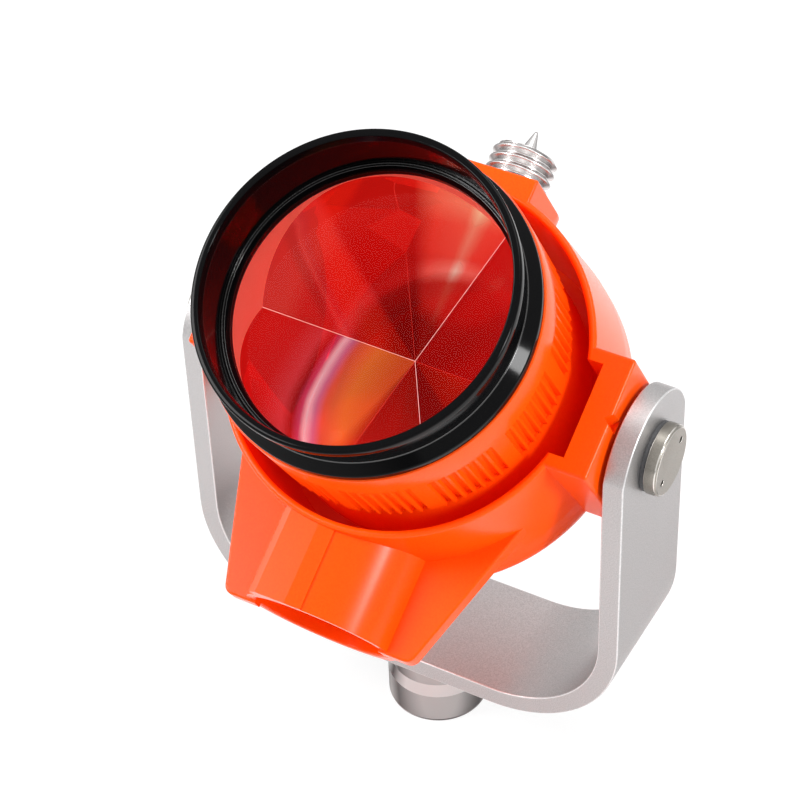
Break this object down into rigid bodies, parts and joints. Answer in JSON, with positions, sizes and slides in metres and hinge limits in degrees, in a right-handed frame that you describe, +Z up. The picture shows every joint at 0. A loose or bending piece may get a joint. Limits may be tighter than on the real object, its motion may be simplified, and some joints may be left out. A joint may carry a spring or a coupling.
{
  "type": "survey prism",
  "caption": "Round corner-cube reflector in an orange tilting holder, carried between the arms of a U-shaped metal yoke with a threaded base and a pointed stud.",
  "frame": {"origin": "centre of the base bushing's bottom face, on the axis of its thread", "axes": "+Z up along the base thread, +X along the tilt axis, -Y the side the prism looks towards"},
  "size_m": [0.1208, 0.117, 0.1734],
  "materials": {
    "blasted_aluminium": "bead-blasted and silver anodised",
    "turned_aluminium": "bright turned",
    "nylon": "plain moulded",
    "dark_washer": "plain dark grey",
    "orange_plastic": "smooth moulded, semi-gloss",
    "nickel": "satin nickel plate with polished bevel",
    "brass": "plain turned",
    "black_rubber": "plain moulded",
    "black_anodised": "gloss black anodised",
    "optical_glass": "polished, with a coated front face"
  },
  "bodies": {
    "yoke": {"yoke_bracket": "blasted_aluminium", "base_bushing": "turned_aluminium", "pivot_bush_right": "nylon", "pivot_bush_left": "nylon", "outer_washer_right": "dark_washer", "outer_washer_left": "dark_washer", "friction_washer_right": "dark_washer", "friction_washer_left": "dark_washer"},
    "holder": {"holder_shell": "orange_plastic", "top_stud": "turned_aluminium", "pivot_screw_right": "nickel", "pivot_screw_left": "nickel", "pivot_insert_right": "brass", "pivot_insert_left": "brass", "thread_insert": "brass"},
    "canister_lift": {"canister_seat_ring": "black_rubber"},
    "prism": {"prism_canister": "orange_plastic", "front_ring": "black_anodised", "retaining_ring": "black_anodised", "front_gasket": "black_rubber", "glass_seal": "black_rubber", "corner_cube": "optical_glass", "seat_pads": "black_rubber"}
  },
  "joints": [
    {"name": "holder_tilt", "type": "hinge", "parent": "yoke", "child": "holder", "pos_m": [0, 0, 0.1042], "axis": [1, 0, 0], "continuous": true},
    {"name": "canister_rise", "type": "slide", "parent": "holder", "child": "canister_lift", "axis": [0, -0.5255, 0.8508], "range_m": [0, 0.0046]},
    {"name": "canister_turn", "type": "hinge", "parent": "canister_lift", "child": "prism", "pos_m": [0, 0, 0.1042], "axis": [0, -0.5255, 0.8508], "range_deg": [0, 1080]}
  ],
  "couplings": [
    {"joint": "canister_rise", "follows": "canister_turn", "m_per_rad": 0.00023873}
  ]
}
